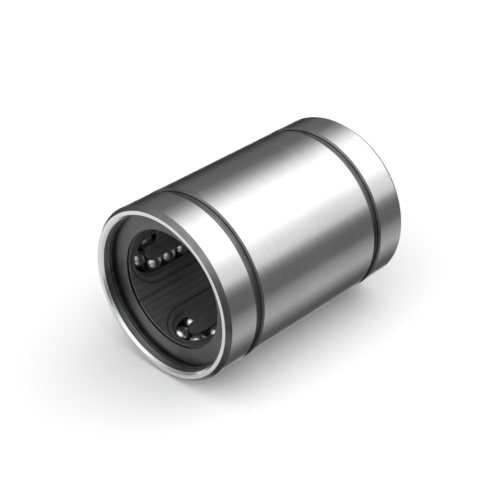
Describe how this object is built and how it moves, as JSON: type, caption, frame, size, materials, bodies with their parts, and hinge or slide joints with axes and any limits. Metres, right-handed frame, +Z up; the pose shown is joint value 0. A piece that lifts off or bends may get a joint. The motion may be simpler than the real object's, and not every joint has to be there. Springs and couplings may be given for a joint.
{
  "type": "linear ball bushing",
  "caption": "Closed cylindrical linear ball bushing with a ground steel shell, two outer snap-ring grooves, a dark retainer and recirculating ball circuits round its bore.",
  "frame": {"origin": "centre of the bushing, on its axis and midway between its end faces", "axes": "+Y along the bushing axis away from the near mouth, +Z up when it lies on its side, +X across"},
  "size_m": [0.045, 0.064, 0.045],
  "materials": {
    "bearing_steel": "satin",
    "retainer": "satin",
    "end_ring": "satin",
    "stop_ring": "satin",
    "balls": "polished"
  },
  "bodies": {
    "housing": {"outer_cylinder": "bearing_steel", "ball_retainer": "retainer", "front_end_ring": "end_ring", "rear_end_ring": "end_ring", "front_stop_ring": "stop_ring", "rear_stop_ring": "stop_ring"},
    "loaded_row_1": {"loaded_row_1": "balls"},
    "return_row_1": {"return_row_1": "balls"},
    "front_turn_1": {"front_turn_1": "balls"},
    "rear_turn_1": {"rear_turn_1": "balls"},
    "loaded_row_2": {"loaded_row_2": "balls"},
    "return_row_2": {"return_row_2": "balls"},
    "front_turn_2": {"front_turn_2": "balls"},
    "rear_turn_2": {"rear_turn_2": "balls"},
    "loaded_row_3": {"loaded_row_3": "balls"},
    "return_row_3": {"return_row_3": "balls"},
    "front_turn_3": {"front_turn_3": "balls"},
    "rear_turn_3": {"rear_turn_3": "balls"},
    "loaded_row_4": {"loaded_row_4": "balls"},
    "return_row_4": {"return_row_4": "balls"},
    "front_turn_4": {"front_turn_4": "balls"},
    "rear_turn_4": {"rear_turn_4": "balls"}
  },
  "joints": [
    {"name": "circuit_1_load", "type": "slide", "parent": "housing", "child": "loaded_row_1", "axis": [0, 1, 0], "range_m": [-0.00263, 0.00223]},
    {"name": "circuit_1_return", "type": "slide", "parent": "housing", "child": "return_row_1", "axis": [0, 1, 0], "range_m": [-0.00223, 0.00263]},
    {"name": "circuit_1_front_turn", "type": "hinge", "parent": "housing", "child": "front_turn_1", "pos_m": [-0.00021, -0.01944, -0.01724], "axis": [-0.0758, -0.1045, 0.9916], "range_deg": [-48.71, 41.31]},
    {"name": "circuit_1_rear_turn", "type": "hinge", "parent": "housing", "child": "rear_turn_1", "pos_m": [-0.00021, 0.01944, -0.01724], "axis": [0.0758, -0.1045, -0.9916], "range_deg": [-41.31, 48.71]},
    {"name": "circuit_2_load", "type": "slide", "parent": "housing", "child": "loaded_row_2", "axis": [0, 1, 0], "range_m": [-0.00093, 0.00393]},
    {"name": "circuit_2_return", "type": "slide", "parent": "housing", "child": "return_row_2", "axis": [0, 1, 0], "range_m": [-0.00393, 0.00093]},
    {"name": "circuit_2_front_turn", "type": "hinge", "parent": "housing", "child": "front_turn_2", "pos_m": [-0.01724, -0.01944, 0.00021], "axis": [0.9916, -0.1045, 0.0758], "range_deg": [-17.23, 72.79]},
    {"name": "circuit_2_rear_turn", "type": "hinge", "parent": "housing", "child": "rear_turn_2", "pos_m": [-0.01724, 0.01944, 0.00021], "axis": [-0.9916, -0.1045, -0.0758], "range_deg": [-72.79, 17.23]},
    {"name": "circuit_3_load", "type": "slide", "parent": "housing", "child": "loaded_row_3", "axis": [0, 1, 0], "range_m": [-0.00373, 0.00113]},
    {"name": "circuit_3_return", "type": "slide", "parent": "housing", "child": "return_row_3", "axis": [0, 1, 0], "range_m": [-0.00113, 0.00373]},
    {"name": "circuit_3_front_turn", "type": "hinge", "parent": "housing", "child": "front_turn_3", "pos_m": [0.00021, -0.01944, 0.01724], "axis": [0.0758, -0.1045, -0.9916], "range_deg": [-69.08, 20.94]},
    {"name": "circuit_3_rear_turn", "type": "hinge", "parent": "housing", "child": "rear_turn_3", "pos_m": [0.00021, 0.01944, 0.01724], "axis": [-0.0758, -0.1045, 0.9916], "range_deg": [-20.94, 69.08]},
    {"name": "circuit_4_load", "type": "slide", "parent": "housing", "child": "loaded_row_4", "axis": [0, 1, 0], "range_m": [-0.00163, 0.00323]},
    {"name": "circuit_4_return", "type": "slide", "parent": "housing", "child": "return_row_4", "axis": [0, 1, 0], "range_m": [-0.00323, 0.00163]},
    {"name": "circuit_4_front_turn", "type": "hinge", "parent": "housing", "child": "front_turn_4", "pos_m": [0.01724, -0.01944, -0.00021], "axis": [-0.9916, -0.1045, -0.0758], "range_deg": [-30.2, 59.83]},
    {"name": "circuit_4_rear_turn", "type": "hinge", "parent": "housing", "child": "rear_turn_4", "pos_m": [0.01724, 0.01944, -0.00021], "axis": [0.9916, -0.1045, 0.0758], "range_deg": [-59.83, 30.2]}
  ],
  "couplings": [
    {"joint": "circuit_1_return", "follows": "circuit_1_load", "ratio": -1},
    {"joint": "circuit_1_front_turn", "follows": "circuit_1_load", "rad_per_m": 323.21},
    {"joint": "circuit_1_rear_turn", "follows": "circuit_1_load", "rad_per_m": -323.21},
    {"joint": "circuit_2_return", "follows": "circuit_2_load", "ratio": -1},
    {"joint": "circuit_2_front_turn", "follows": "circuit_2_load", "rad_per_m": 323.21},
    {"joint": "circuit_2_rear_turn", "follows": "circuit_2_load", "rad_per_m": -323.21},
    {"joint": "circuit_3_return", "follows": "circuit_3_load", "ratio": -1},
    {"joint": "circuit_3_front_turn", "follows": "circuit_3_load", "rad_per_m": 323.21},
    {"joint": "circuit_3_rear_turn", "follows": "circuit_3_load", "rad_per_m": -323.21},
    {"joint": "circuit_4_return", "follows": "circuit_4_load", "ratio": -1},
    {"joint": "circuit_4_front_turn", "follows": "circuit_4_load", "rad_per_m": 323.21},
    {"joint": "circuit_4_rear_turn", "follows": "circuit_4_load", "rad_per_m": -323.21}
  ]
}
